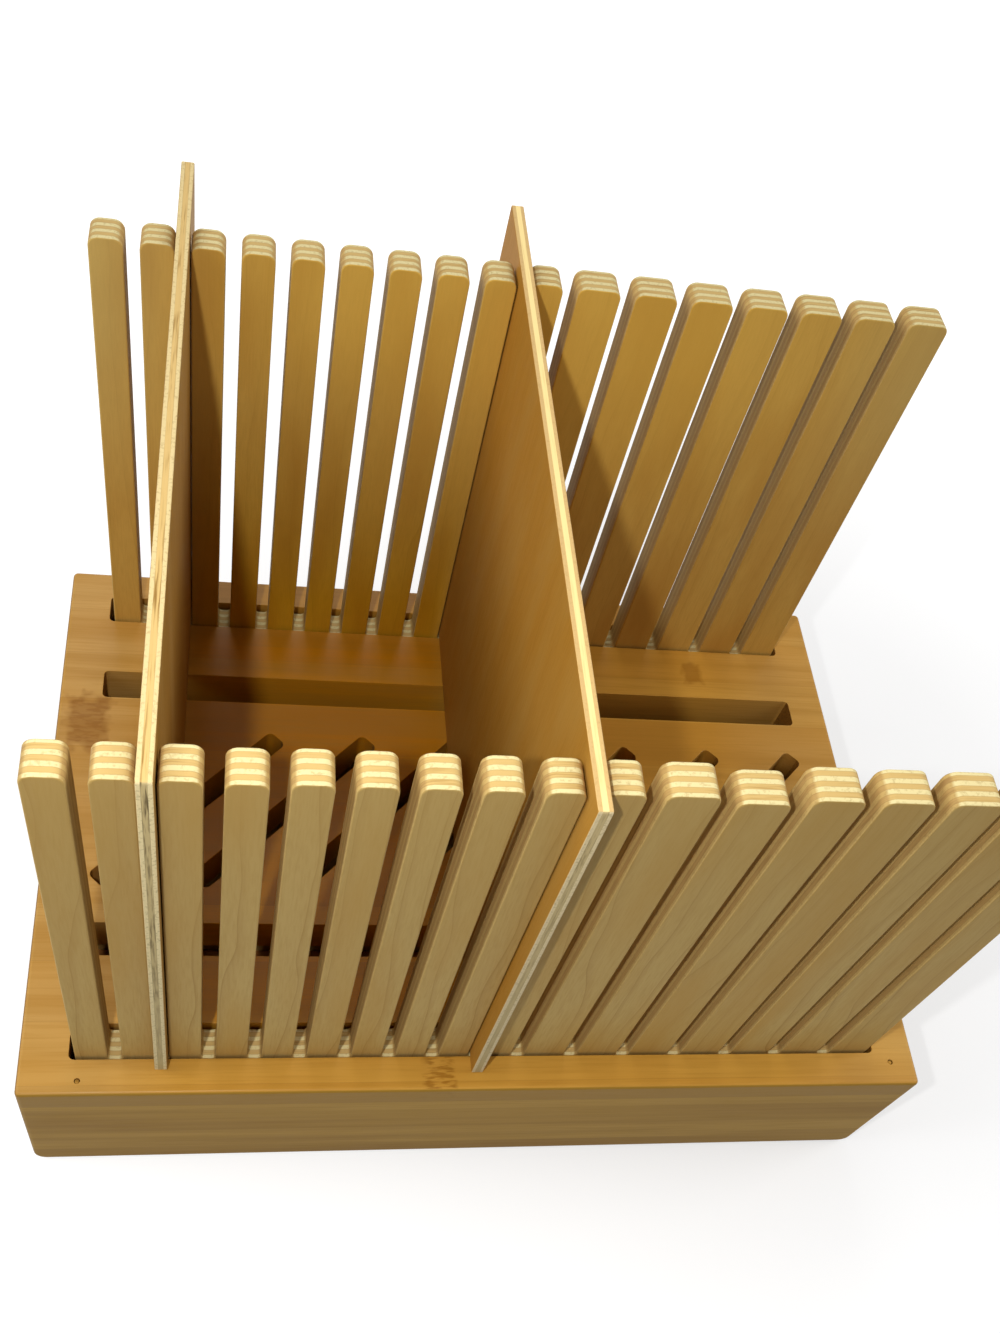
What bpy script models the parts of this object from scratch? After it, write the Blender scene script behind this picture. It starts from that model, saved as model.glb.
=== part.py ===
"""Bread slicer guide: a hollow bamboo base with two removable combs, two dividers and a crumb drawer.

Metres, +Z up. The origin is the centre of the base's underside, +X runs along the base and
+Y points from the front comb to the back comb.
"""

import math

import bmesh
import bpy
from mathutils import Matrix, Vector

# Base: a shallow box of glued boards. Its length follows the combs that stand in it.
BASE_WIDTH = 0.185
BASE_HEIGHT = 0.0565
DECK_THICKNESS = 0.0095
WALL_THICKNESS = 0.0095
BOTTOM_THICKNESS = 0.006
UPRIGHT_EDGE_RADIUS = 0.003
TOP_EDGE_RADIUS = 0.001
FOOT_EDGE_RADIUS = 0.0025

# Gap between glued or resting faces.
FIT_GAP = 0.0003

# Combs: boards sawn into guide fingers, narrow ones on the left for thin slices, wide ones on the right.
COMB_THICKNESS = 0.0088
NARROW_FINGERS = 10
WIDE_FINGERS = 7
NARROW_PITCH = 0.0127
WIDE_PITCH = 0.0161
KNIFE_GAP = 0.004
FINGER_HEIGHT = 0.144
FINGER_CORNER_RADIUS = 0.0027
# The bottom of a knife gap has rounded corners and lies under the deck's top, so the blade reaches the deck.
SADDLE_RADIUS = 0.0013
SADDLE_DEPTH = 0.0022

# Comb slots in the deck: an outer pair that holds the combs and an inner pair for a smaller loaf.
SLOT_SIDE_PLAY = 0.0008
SLOT_END_PLAY = 0.0016
SLOT_WALL_MARGIN = 0.0007
SLOT_END_MARGIN = 0.0038
SLOT_SPACING = 0.0314
SLOT_CORNER_RADIUS = 0.0015

# Dividers: thin boards that stand on the deck in a knife gap of both combs.
DIVIDER_GAPS = (2, 9)
DIVIDER_HEIGHT = 0.1464
DIVIDER_FRONT_REACH = 0.0059
DIVIDER_BACK_REACH = 0.0264
DIVIDER_CORNER_RADIUS = 0.0008
DIVIDER_PLAY = 0.0003
# The left divider is pushed back a little and tips over the deck's back edge.
LEFT_DIVIDER_SHIFT = 0.0011
LEFT_DIVIDER_TILT = math.radians(0.56)

# Guide strips on the bottom board: each stands between an outer and an inner comb and keeps their feet in line.
GUIDE_HEIGHT = 0.012
GUIDE_PLAY = 0.0013

# Crumb drawer under the deck, between two runners. It leaves through the right end wall.
RUNNER_THICKNESS = 0.0055
RUNNER_HEIGHT = 0.02
DRAWER_PLAY = 0.0006
DRAWER_SIDE_THICKNESS = 0.005
DRAWER_END_THICKNESS = 0.004
DRAWER_FLOOR_THICKNESS = 0.004
DRAWER_NOTCH_RADIUS = 0.011
LINTEL_HEIGHT = 0.01

# Crumb slots: a row of diagonal slots in the deck that spans the inside of the drawer.
CRUMB_SLOTS = 7
CRUMB_SLOT_WIDTH = 0.00675
CRUMB_SLOT_ANGLE = math.radians(45)
CRUMB_SLOT_CORNER_RADIUS = 0.001
CRUMB_SLOT_MARGIN = 0.0003

# Pins through the deck into the front wall.
PIN_RADIUS = 0.00075
PIN_LENGTH = 0.025
PIN_SINK = 0.0003
LEFT_PIN_INSET = 0.0161
RIGHT_PIN_INSET = 0.0082
LEFT_PIN_WALL_SHARE = 0.43
RIGHT_PIN_WALL_SHARE = 0.75

# How far a cutter runs past the face that it cuts.
OVERRUN = 0.002
ARC_STEPS = 4
PIN_SIDES = 12
NOTCH_SIDES = 32

# Sizes that follow from the ones above.
COMB_LENGTH = NARROW_FINGERS * NARROW_PITCH + WIDE_FINGERS * WIDE_PITCH - KNIFE_GAP
SLOT_LENGTH = COMB_LENGTH + 2 * SLOT_END_PLAY
SLOT_WIDTH = COMB_THICKNESS + 2 * SLOT_SIDE_PLAY
BASE_LENGTH = SLOT_LENGTH + 2 * (WALL_THICKNESS + SLOT_END_MARGIN)
WALL_HEIGHT = BASE_HEIGHT - DECK_THICKNESS - FIT_GAP
END_WALL_LENGTH = BASE_WIDTH - 2 * (WALL_THICKNESS + FIT_GAP)
INSIDE_LENGTH = BASE_LENGTH - 2 * WALL_THICKNESS
OUTER_SLOT_Y = BASE_WIDTH / 2 - WALL_THICKNESS - SLOT_WALL_MARGIN - SLOT_WIDTH / 2
INNER_SLOT_Y = OUTER_SLOT_Y - SLOT_SPACING
COMB_FOOT = BOTTOM_THICKNESS + FIT_GAP
GUIDE_WIDTH = SLOT_SPACING - SLOT_WIDTH - 2 * GUIDE_PLAY
GUIDE_Y = (OUTER_SLOT_Y + INNER_SLOT_Y) / 2
# The back comb leans back until its foot meets the guide strip.
BACK_COMB_LEAN = math.atan((SLOT_SIDE_PLAY + GUIDE_PLAY - FIT_GAP) / (BASE_HEIGHT - COMB_FOOT))
DIVIDER_THICKNESS = KNIFE_GAP - 2 * DIVIDER_PLAY
DIVIDER_FOOT = BASE_HEIGHT + FIT_GAP
RUNNER_Y = INNER_SLOT_Y - SLOT_WIDTH / 2 - RUNNER_THICKNESS / 2
DRAWER_HALF_WIDTH = RUNNER_Y - RUNNER_THICKNESS / 2 - DRAWER_PLAY
DRAWER_INSIDE_HALF_WIDTH = DRAWER_HALF_WIDTH - DRAWER_SIDE_THICKNESS
DRAWER_FOOT = BOTTOM_THICKNESS + FIT_GAP
OPENING_TOP = BASE_HEIGHT - DECK_THICKNESS - LINTEL_HEIGHT
DRAWER_TOP = OPENING_TOP - DRAWER_PLAY
DRAWER_HEIGHT = DRAWER_TOP - DRAWER_FOOT


def clear_scene():
    for item in list(bpy.data.objects):
        bpy.data.objects.remove(item)


def new_collection(name, rendered=True):
    collection = bpy.data.collections.new(name)
    collection.hide_render = not rendered
    bpy.context.scene.collection.children.link(collection)
    return collection


def wood_material(name, color, roughness):
    material = bpy.data.materials.new(name)
    material.use_nodes = True
    shader = material.node_tree.nodes["Principled BSDF"]
    shader.inputs["Base Color"].default_value = (*color, 1)
    shader.inputs["Roughness"].default_value = roughness
    shader.inputs["Metallic"].default_value = 0
    return material


def pin_material():
    material = wood_material("pin_steel", (0.11, 0.09, 0.08), 0.5)
    material.node_tree.nodes["Principled BSDF"].inputs["Metallic"].default_value = 1
    return material


def add_empty(name, location, collection):
    empty = bpy.data.objects.new(name, None)
    empty.location = location
    collection.objects.link(empty)
    return empty


def add_object(name, data, location, parent, collection):
    """The location is in the world. Parents are neither turned nor scaled, so theirs is taken off."""
    item = bpy.data.objects.new(name, data)
    collection.objects.link(item)
    item.location = Vector(location)
    if parent:
        item.parent = parent
        item.location -= parent.location
    return item


def add_box(name, size, location, material, parent, collection):
    shape = bmesh.new()
    bmesh.ops.create_cube(shape, size=1, matrix=Matrix.Diagonal((*size, 1)))
    mesh = bpy.data.meshes.new(name)
    shape.to_mesh(mesh)
    shape.free()
    if material:
        mesh.materials.append(material)
    return add_object(name, mesh, location, parent, collection)


def round_edges(item, radius, chosen):
    """Rounds the edges that the function chosen accepts, given the edge's two points."""
    shape = bmesh.new()
    shape.from_mesh(item.data)
    edges = [edge for edge in shape.edges if chosen(edge.verts[0].co, edge.verts[1].co)]
    bmesh.ops.bevel(
        shape, geom=edges, offset=radius, segments=ARC_STEPS, profile=0.5, affect="EDGES"
    )
    shape.to_mesh(item.data)
    shape.free()


def close_to(value, target):
    return abs(value - target) < FIT_GAP / 2


def rounded_outline(corners):
    """Points of a closed outline from its corners, each (x, y, radius), run anticlockwise."""
    points = []
    for index, (x, y, radius) in enumerate(corners):
        corner = Vector((x, y))
        if not radius:
            points.append(corner)
            continue
        before = (Vector(corners[index - 1][:2]) - corner).normalized()
        after = (Vector(corners[(index + 1) % len(corners)][:2]) - corner).normalized()
        half_angle = before.angle(after) / 2
        centre = corner + (before + after).normalized() * (radius / math.sin(half_angle))
        first = corner + before * (radius / math.tan(half_angle)) - centre
        last = corner + after * (radius / math.tan(half_angle)) - centre
        for step in range(ARC_STEPS + 1):
            points.append(centre + first.slerp(last, step / ARC_STEPS).normalized() * radius)
    return points


def add_flat(name, corners, thickness, location, material, parent, collection):
    """A board with the given outline, lying in its own XY plane."""
    curve = bpy.data.curves.new(name, "CURVE")
    curve.dimensions = "2D"
    curve.fill_mode = "BOTH"
    curve.extrude = thickness / 2
    points = rounded_outline(corners)
    spline = curve.splines.new("POLY")
    spline.points.add(len(points) - 1)
    for place, point in zip(spline.points, points):
        place.co = (point.x, point.y, 0, 1)
    spline.use_cyclic_u = True
    if material:
        curve.materials.append(material)
    return add_object(name, curve, location, parent, collection)


def make_mesh(item, collection):
    """The mesh object that replaces a flat outline, with its caps welded to its sides."""
    bpy.context.view_layer.update()
    graph = bpy.context.evaluated_depsgraph_get()
    mesh = bpy.data.meshes.new_from_object(item.evaluated_get(graph))
    shape = bmesh.new()
    shape.from_mesh(mesh)
    bmesh.ops.remove_doubles(shape, verts=shape.verts, dist=FIT_GAP / 10)
    bmesh.ops.recalc_face_normals(shape, faces=shape.faces)
    shape.to_mesh(mesh)
    shape.free()
    name = item.name
    matrix = item.matrix_world.copy()
    bpy.data.objects.remove(item)
    made = bpy.data.objects.new(name, mesh)
    collection.objects.link(made)
    made.matrix_world = matrix
    return made


def hide_cutter(cutter):
    cutter.hide_render = True
    cutter.display_type = "WIRE"


def cut(item, cutters):
    for cutter in cutters:
        modifier = item.modifiers.new(cutter.name, "BOOLEAN")
        modifier.operation = "DIFFERENCE"
        modifier.solver = "EXACT"
        modifier.object = cutter


def slot_cutter(name, length, width, radius, x, y, angle, cutters):
    """A cutter for a slot through the deck, with rounded corners."""
    half_length = length / 2
    half_width = width / 2
    corners = [
        (-half_length, -half_width, radius),
        (half_length, -half_width, radius),
        (half_length, half_width, radius),
        (-half_length, half_width, radius),
    ]
    height = DECK_THICKNESS + 2 * OVERRUN
    middle = BASE_HEIGHT - DECK_THICKNESS / 2
    flat = add_flat(name, corners, height, (x, y, middle), None, None, cutters)
    flat.rotation_euler.z = angle
    cutter = make_mesh(flat, cutters)
    hide_cutter(cutter)
    return cutter


def round_cutter(name, radius, sides, length, location, along_x, cutters):
    """A round cutter of the given length, centred on the location."""
    shape = bmesh.new()
    bmesh.ops.create_cone(
        shape, cap_ends=True, segments=sides, radius1=radius, radius2=radius, depth=length
    )
    mesh = bpy.data.meshes.new(name)
    shape.to_mesh(mesh)
    shape.free()
    cutter = add_object(name, mesh, location, None, cutters)
    if along_x:
        cutter.rotation_euler.y = math.pi / 2
    hide_cutter(cutter)
    return cutter


def pin_places():
    """Where the two pins stand: name, X and Y."""
    half = BASE_LENGTH / 2
    front = -BASE_WIDTH / 2
    return [
        ("left", LEFT_PIN_INSET - half, front + WALL_THICKNESS * LEFT_PIN_WALL_SHARE),
        ("right", half - RIGHT_PIN_INSET, front + WALL_THICKNESS * RIGHT_PIN_WALL_SHARE),
    ]


def pin_middle():
    return BASE_HEIGHT - PIN_SINK - PIN_LENGTH / 2


def pin_hole_cutters(cutters):
    made = []
    for side, x, y in pin_places():
        name = f"cut_pin_{side}"
        radius = PIN_RADIUS + FIT_GAP
        length = PIN_LENGTH + 2 * (PIN_SINK + FIT_GAP)
        place = (x, y, pin_middle())
        made.append(round_cutter(name, radius, PIN_SIDES, length, place, False, cutters))
    return made


def comb_slot_cutters(cutters):
    places = {
        "outer_front": -OUTER_SLOT_Y,
        "inner_front": -INNER_SLOT_Y,
        "inner_back": INNER_SLOT_Y,
        "outer_back": OUTER_SLOT_Y,
    }
    made = []
    for side, y in places.items():
        name = f"cut_slot_{side}"
        radius = SLOT_CORNER_RADIUS
        made.append(slot_cutter(name, SLOT_LENGTH, SLOT_WIDTH, radius, 0, y, 0, cutters))
    return made


def crumb_slot_cutters(cutters):
    """Equal diagonal slots whose row reaches to the inner faces of the drawer all round."""
    sine = math.sin(CRUMB_SLOT_ANGLE)
    cosine = math.cos(CRUMB_SLOT_ANGLE)
    depth = 2 * (DRAWER_INSIDE_HALF_WIDTH - CRUMB_SLOT_MARGIN)
    length = (depth - CRUMB_SLOT_WIDTH * cosine) / sine
    reach = length * cosine + CRUMB_SLOT_WIDTH * sine
    row = INSIDE_LENGTH - 2 * (FIT_GAP + DRAWER_END_THICKNESS)
    pitch = (row - reach) / (CRUMB_SLOTS - 1)
    made = []
    for index in range(CRUMB_SLOTS):
        name = f"cut_crumb_{index + 1}"
        radius = CRUMB_SLOT_CORNER_RADIUS
        x = (reach - row) / 2 + index * pitch
        made.append(
            slot_cutter(name, length, CRUMB_SLOT_WIDTH, radius, x, 0, CRUMB_SLOT_ANGLE, cutters)
        )
    return made


def add_deck(material, base, pin_holes, parts, cutters):
    """The top board: rounded outside, with comb slots, crumb slots and pin holes."""
    size = (BASE_LENGTH, BASE_WIDTH, DECK_THICKNESS)
    place = (0, 0, BASE_HEIGHT - DECK_THICKNESS / 2)
    deck = add_box("deck_board", size, place, material, base, parts)
    top = DECK_THICKNESS / 2
    round_edges(deck, UPRIGHT_EDGE_RADIUS, lambda a, b: not close_to(a.z, b.z))
    round_edges(deck, TOP_EDGE_RADIUS, lambda a, b: close_to(a.z, top) and close_to(b.z, top))
    cut(deck, comb_slot_cutters(cutters) + crumb_slot_cutters(cutters) + pin_holes)


def add_long_wall(name, side, material, base, parts):
    """A full-length wall. Side is -1 at the front and 1 at the back."""
    size = (BASE_LENGTH, WALL_THICKNESS, WALL_HEIGHT)
    place = (0, side * (BASE_WIDTH - WALL_THICKNESS) / 2, WALL_HEIGHT / 2)
    wall = add_box(name, size, place, material, base, parts)
    outside = side * WALL_THICKNESS / 2
    inside = -outside
    foot = -WALL_HEIGHT / 2

    def upright_outside(a, b):
        return not close_to(a.z, b.z) and close_to(a.y, outside)

    def foot_outside(a, b):
        low = close_to(a.z, foot) and close_to(b.z, foot)
        return low and not (close_to(a.y, inside) and close_to(b.y, inside))

    round_edges(wall, UPRIGHT_EDGE_RADIUS, upright_outside)
    round_edges(wall, FOOT_EDGE_RADIUS, foot_outside)
    return wall


def add_end_wall(name, side, material, base, parts):
    """A wall between the long walls. Side is -1 at the left and 1 at the right."""
    size = (WALL_THICKNESS, END_WALL_LENGTH, WALL_HEIGHT)
    place = (side * (BASE_LENGTH - WALL_THICKNESS) / 2, 0, WALL_HEIGHT / 2)
    wall = add_box(name, size, place, material, base, parts)
    outside = side * WALL_THICKNESS / 2
    foot = -WALL_HEIGHT / 2

    def foot_outside(a, b):
        low = close_to(a.z, foot) and close_to(b.z, foot)
        return low and close_to(a.x, outside) and close_to(b.x, outside)

    round_edges(wall, FOOT_EDGE_RADIUS, foot_outside)
    return wall


def add_bottom(material, base, parts):
    size = (INSIDE_LENGTH - 2 * FIT_GAP, END_WALL_LENGTH, BOTTOM_THICKNESS)
    add_box("bottom_board", size, (0, 0, BOTTOM_THICKNESS / 2), material, base, parts)


def add_comb_guides(material, base, parts):
    size = (INSIDE_LENGTH - 2 * FIT_GAP, GUIDE_WIDTH, GUIDE_HEIGHT)
    middle = BOTTOM_THICKNESS + FIT_GAP + GUIDE_HEIGHT / 2
    add_box("comb_guide_front", size, (0, -GUIDE_Y, middle), material, base, parts)
    add_box("comb_guide_back", size, (0, GUIDE_Y, middle), material, base, parts)


def add_runners(material, base, parts):
    size = (INSIDE_LENGTH - 2 * FIT_GAP, RUNNER_THICKNESS, RUNNER_HEIGHT)
    middle = BOTTOM_THICKNESS + FIT_GAP + RUNNER_HEIGHT / 2
    add_box("runner_front", size, (0, -RUNNER_Y, middle), material, base, parts)
    add_box("runner_back", size, (0, RUNNER_Y, middle), material, base, parts)


def add_pins(material, base, parts):
    for side, x, y in pin_places():
        shape = bmesh.new()
        bmesh.ops.create_cone(
            shape,
            cap_ends=True,
            segments=PIN_SIDES,
            radius1=PIN_RADIUS,
            radius2=PIN_RADIUS,
            depth=PIN_LENGTH,
        )
        mesh = bpy.data.meshes.new(f"deck_pin_{side}")
        shape.to_mesh(mesh)
        shape.free()
        mesh.materials.append(material)
        mesh.shade_smooth()
        mesh.set_sharp_from_angle(angle=math.radians(40))
        add_object(f"deck_pin_{side}", mesh, (x, y, pin_middle()), base, parts)


def finger_spans():
    """Left and right side of each finger, from the comb's left end."""
    spans = []
    left = 0
    for pitch, count in ((NARROW_PITCH, NARROW_FINGERS), (WIDE_PITCH, WIDE_FINGERS)):
        for _ in range(count):
            spans.append((left, left + pitch - KNIFE_GAP))
            left += pitch
    return spans


def comb_corners():
    """Outline of a comb in its own plane: X from its middle, Y up from its foot."""
    half = COMB_LENGTH / 2
    deck_top = BASE_HEIGHT - COMB_FOOT
    saddle = deck_top - SADDLE_DEPTH
    tip = deck_top + FINGER_HEIGHT
    corners = [(-half, 0, 0), (half, 0, 0)]
    spans = finger_spans()
    for index, (left, right) in reversed(list(enumerate(spans))):
        if index < len(spans) - 1:
            corners.append((right - half, saddle, SADDLE_RADIUS))
        corners.append((right - half, tip, FINGER_CORNER_RADIUS))
        corners.append((left - half, tip, FINGER_CORNER_RADIUS))
        if index:
            corners.append((left - half, saddle, SADDLE_RADIUS))
    return corners


def add_comb(name, y, lean, material, combs, parts):
    """A comb through the deck slot at y, standing on the bottom board with its top tipped back."""
    foot = COMB_FOOT + COMB_THICKNESS / 2 * math.sin(lean)
    place = (0, y - (BASE_HEIGHT - foot) * math.tan(lean), foot)
    comb = add_flat(name, comb_corners(), COMB_THICKNESS, place, material, combs, parts)
    comb.rotation_euler.x = math.pi / 2 - lean


def gap_middle(fingers):
    """X of the knife gap that follows this many fingers."""
    return finger_spans()[fingers][0] - KNIFE_GAP / 2 - COMB_LENGTH / 2


def add_divider(name, fingers, shift, tilt, material, combs, parts):
    """A thin board across both combs that overhangs the deck's back edge and may tip over it."""
    front = -OUTER_SLOT_Y - COMB_THICKNESS / 2 - DIVIDER_FRONT_REACH
    back = OUTER_SLOT_Y + COMB_THICKNESS / 2 + DIVIDER_BACK_REACH
    corners = [
        (front, 0, 0),
        (back, 0, 0),
        (back, DIVIDER_HEIGHT, DIVIDER_CORNER_RADIUS),
        (front, DIVIDER_HEIGHT, DIVIDER_CORNER_RADIUS),
    ]
    edge = BASE_WIDTH / 2
    y = edge - (edge - shift) * math.cos(tilt)
    z = DIVIDER_FOOT + (edge - shift) * math.sin(tilt)
    place = (gap_middle(fingers), y, z)
    divider = add_flat(name, corners, DIVIDER_THICKNESS, place, material, combs, parts)
    divider.rotation_euler = (math.pi / 2, tilt, math.pi / 2)


def drawer_opening_cutter(cutters):
    half_width = DRAWER_HALF_WIDTH + DRAWER_PLAY
    height = OPENING_TOP - BOTTOM_THICKNESS
    size = (WALL_THICKNESS + 2 * OVERRUN, 2 * half_width, height)
    x = (BASE_LENGTH - WALL_THICKNESS) / 2
    place = (x, 0, BOTTOM_THICKNESS + height / 2)
    cutter = add_box("cut_drawer_opening", size, place, None, None, cutters)
    hide_cutter(cutter)
    return cutter


def add_drawer(material, drawer, parts, cutters):
    """Five boards: a front with a finger notch, two sides, an inner end and a floor between them."""
    stop = FIT_GAP - INSIDE_LENGTH / 2
    front_inside = BASE_LENGTH / 2 - WALL_THICKNESS
    middle = DRAWER_FOOT + DRAWER_HEIGHT / 2

    size = (WALL_THICKNESS, 2 * DRAWER_HALF_WIDTH, DRAWER_HEIGHT)
    place = (front_inside + WALL_THICKNESS / 2, 0, middle)
    front = add_box("drawer_front", size, place, material, drawer, parts)
    length = WALL_THICKNESS + 2 * OVERRUN
    radius = DRAWER_NOTCH_RADIUS
    place = (place[0], 0, DRAWER_TOP)
    notch = round_cutter("cut_notch", radius, NOTCH_SIDES, length, place, True, cutters)
    cut(front, [notch])

    size = (DRAWER_END_THICKNESS, 2 * DRAWER_HALF_WIDTH, DRAWER_HEIGHT)
    place = (stop + DRAWER_END_THICKNESS / 2, 0, middle)
    add_box("drawer_inner_end", size, place, material, drawer, parts)

    start = stop + DRAWER_END_THICKNESS + FIT_GAP
    end = front_inside - FIT_GAP
    side_y = DRAWER_HALF_WIDTH - DRAWER_SIDE_THICKNESS / 2
    size = (end - start, DRAWER_SIDE_THICKNESS, DRAWER_HEIGHT)
    x = (start + end) / 2
    add_box("drawer_side_front", size, (x, -side_y, middle), material, drawer, parts)
    add_box("drawer_side_back", size, (x, side_y, middle), material, drawer, parts)

    width = 2 * (DRAWER_INSIDE_HALF_WIDTH - FIT_GAP)
    size = (end - start, width, DRAWER_FLOOR_THICKNESS)
    place = (x, 0, DRAWER_FOOT + DRAWER_FLOOR_THICKNESS / 2)
    add_box("drawer_floor", size, place, material, drawer, parts)


def main():
    clear_scene()
    parts = new_collection("bread_slicer_guide")
    cutters = new_collection("cutters", rendered=False)
    bamboo = wood_material("bamboo", (0.60, 0.34, 0.13), 0.5)
    bamboo_side = wood_material("bamboo_wall", (0.53, 0.31, 0.13), 0.5)
    plywood = wood_material("comb_plywood", (0.62, 0.42, 0.19), 0.55)
    thin_plywood = wood_material("divider_plywood", (0.58, 0.36, 0.16), 0.55)
    drawer_wood = wood_material("drawer_board", (0.55, 0.34, 0.15), 0.6)
    steel = pin_material()

    base = add_empty("base", (0, 0, 0), parts)
    combs = add_empty("comb_lift", (0, 0, COMB_FOOT), parts)
    combs.parent = base
    drawer = add_empty("drawer_slide", (BASE_LENGTH / 2, 0, DRAWER_FOOT), parts)
    drawer.parent = base

    pin_holes = pin_hole_cutters(cutters)
    add_deck(bamboo, base, pin_holes, parts, cutters)
    cut(add_long_wall("front_wall", -1, bamboo_side, base, parts), pin_holes)
    add_long_wall("back_wall", 1, bamboo_side, base, parts)
    add_end_wall("left_end_wall", -1, bamboo_side, base, parts)
    right_wall = add_end_wall("right_end_wall", 1, bamboo_side, base, parts)
    cut(right_wall, [drawer_opening_cutter(cutters)])
    add_bottom(bamboo_side, base, parts)
    add_comb_guides(drawer_wood, base, parts)
    add_runners(drawer_wood, base, parts)
    add_pins(steel, base, parts)

    add_comb("front_comb", -OUTER_SLOT_Y, 0, plywood, combs, parts)
    add_comb("back_comb", OUTER_SLOT_Y, BACK_COMB_LEAN, plywood, combs, parts)
    left_gap, right_gap = DIVIDER_GAPS
    shift = LEFT_DIVIDER_SHIFT
    tilt = LEFT_DIVIDER_TILT
    add_divider("left_divider", left_gap, shift, tilt, thin_plywood, combs, parts)
    add_divider("right_divider", right_gap, 0, 0, thin_plywood, combs, parts)
    add_drawer(drawer_wood, drawer, parts, cutters)


main()
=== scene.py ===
"""Bread slicer guide for the camera: boards with eased edges, bamboo and plywood finishes, light and view.

Metres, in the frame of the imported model: +X runs along the base and +Y from the front comb to the
back comb. The materials work in millimetres.
"""

import math

import bmesh
import bpy
from mathutils import Matrix, Vector


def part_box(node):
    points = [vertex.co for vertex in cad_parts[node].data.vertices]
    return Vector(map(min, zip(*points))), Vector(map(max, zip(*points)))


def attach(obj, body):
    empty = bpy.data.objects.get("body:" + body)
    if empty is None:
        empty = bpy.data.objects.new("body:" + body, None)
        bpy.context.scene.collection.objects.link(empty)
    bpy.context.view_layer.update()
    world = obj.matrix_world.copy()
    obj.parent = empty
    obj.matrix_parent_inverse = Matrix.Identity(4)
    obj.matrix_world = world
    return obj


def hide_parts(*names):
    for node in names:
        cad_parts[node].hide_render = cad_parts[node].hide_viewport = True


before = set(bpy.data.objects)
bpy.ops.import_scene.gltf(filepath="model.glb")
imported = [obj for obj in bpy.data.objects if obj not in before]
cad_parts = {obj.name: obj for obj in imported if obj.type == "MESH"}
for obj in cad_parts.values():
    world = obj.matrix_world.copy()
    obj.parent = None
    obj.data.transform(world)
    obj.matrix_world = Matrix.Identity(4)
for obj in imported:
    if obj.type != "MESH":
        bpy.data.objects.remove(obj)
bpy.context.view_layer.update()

# Combs: ten narrow fingers for thin slices, then seven wide ones.
NARROW_FINGERS = 10
WIDE_FINGERS = 7
NARROW_PITCH = 0.0127
WIDE_PITCH = 0.0161
KNIFE_GAP = 0.004
SADDLE_DEPTH = 0.0022
SADDLE_RADIUS = 0.0013
FINGER_CORNER_RADIUS = 0.0027
BACK_COMB_LEAN = math.radians(2.053)
# Fingers of the front comb that were cut short, counted from the left, and by how much.
SHORT_FINGERS = ((4, 0.0005), (12, 0.002))

# Base: the deck with its slots, the walls' lower corners and the brads.
DECK_CORNER_RADIUS = 0.0016
DECK_TOP_RADIUS = 0.0012
FOOT_RADIUS = 0.004
SLOT_RADIUS = 0.0015
SLOT_LENGTH = 0.2389
SLOT_WIDTH = 0.0104
SLOT_YS = (-0.0771, -0.0457, 0.0457, 0.0771)
CRUMB_SLOTS = 7
CRUMB_SLOT_LENGTH = 0.07556
CRUMB_SLOT_WIDTH = 0.00675
CRUMB_SLOT_RADIUS = 0.0018
CRUMB_SLOT_FIRST_X = -0.08985
CRUMB_SLOT_PITCH = 0.02995
BRAD_RADIUS = 0.0008
PIN_HOLE_PLAY = 0.00004
# The deck's thicker field between the outer slots: how far down and how far out it goes, and its
# play inside the end walls.
FIELD_DEPTH = 0.0055
FIELD_HALF_WIDTH = 0.0705
FIELD_PLAY = 0.0005

# Dividers: the left one is pushed back and tips over the deck's back edge.
DIVIDER_CORNER_RADIUS = 0.0008
LEFT_DIVIDER_SHIFT = 0.0011
LEFT_DIVIDER_TILT = math.radians(0.56)

# Crumb drawer.
DRAWER_PLAY = 0.0006
DRAWER_NOTCH_RADIUS = 0.011

# Sanded edges: a visible softening on the boards in reach, and a light one on those inside.
EASED = 0.0005
EASED_INSIDE = 0.0003
SLOT_EASED = 0.00025
SHARP_ANGLE = math.radians(40)

# How far a cutter reaches past what it cuts, and how near two places count as one.
OVERRUN = 0.002
CLOSE = 0.00005

# How far a glued wall reaches up to close its joint under the deck.
GLUE_REACH = 0.00028

# Tones of the bamboo: light, middle and dark strips, outer edge faces, and cut ends.
DECK_TONES = ("CB9A42", "B98430", "A27224", "8E6C1E", "8A6226")
WALL_TONES = ("AE8A42", "A4803A", "8C682E", "8C682E", "7C5C2A")
# Painted shade: the inside boards are redder and darker than the walls, as the slots' insides are in shade.
INSIDE_SHADE_TONES = ("A87038", "9C6430", "7A4A24", "7A4A24", "643A18")
DRAWER_TONES = ("C09A58", "B28A48", "94703A", "94703A", "80602E")
# Knuckles in the deck: centre, half width and half depth in millimetres, how barred, and how dark.
KNUCKLES = (
    (-16.3, -87.2, 4.4, 6.0, 0.9, 0.65),
    (84.8, 61.8, 3.4, 4.4, 0.1, 0.55),
    (-123.3, 30.4, 6.4, 9.6, 0.3, 0.75),
)
# Tones of the face veneers: wood, its figure, and the warm patches in it.
COMB_VENEER = ("BDA061", "98743A", "B48E48")
# Painted warm bounce light: the back comb's veneer is warmer than the front comb's.
BOUNCE_WARMED_VENEER = ("C39A4A", "A07A34", "AA7A30")
LEFT_VENEER = ("A27A38", "8C642A", "AA864C")
RIGHT_VENEER = ("AE7C2C", "966624", "B0863E")
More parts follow.
